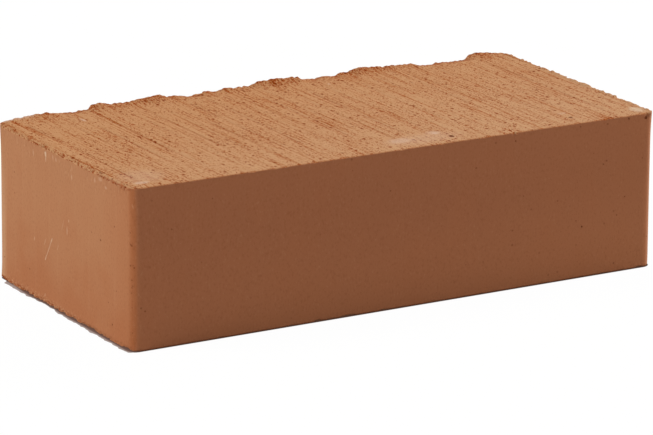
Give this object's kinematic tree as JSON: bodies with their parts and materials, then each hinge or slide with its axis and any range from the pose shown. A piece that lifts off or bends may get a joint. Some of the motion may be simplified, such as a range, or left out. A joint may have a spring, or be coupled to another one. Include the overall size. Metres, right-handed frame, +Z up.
{
  "type": "clay brick",
  "caption": "Solid fired-clay brick: a plain rectangular block with rounded upright corners, wire-cut beds marked by drag grooves, and one torn arris.",
  "frame": {"origin": "centre of the lower bed, on the floor that the brick lies on", "axes": "+X along the length, +Y across the width from the arris where the wire entered to the torn arris where it left, +Z up from bed to bed"},
  "size_m": [0.2488, 0.119, 0.0689],
  "materials": {
    "fired_clay": "matte, unglazed, lightly mottled"
  },
  "bodies": {
    "root": {"clay_brick": "fired_clay"}
  },
  "joints": []
}
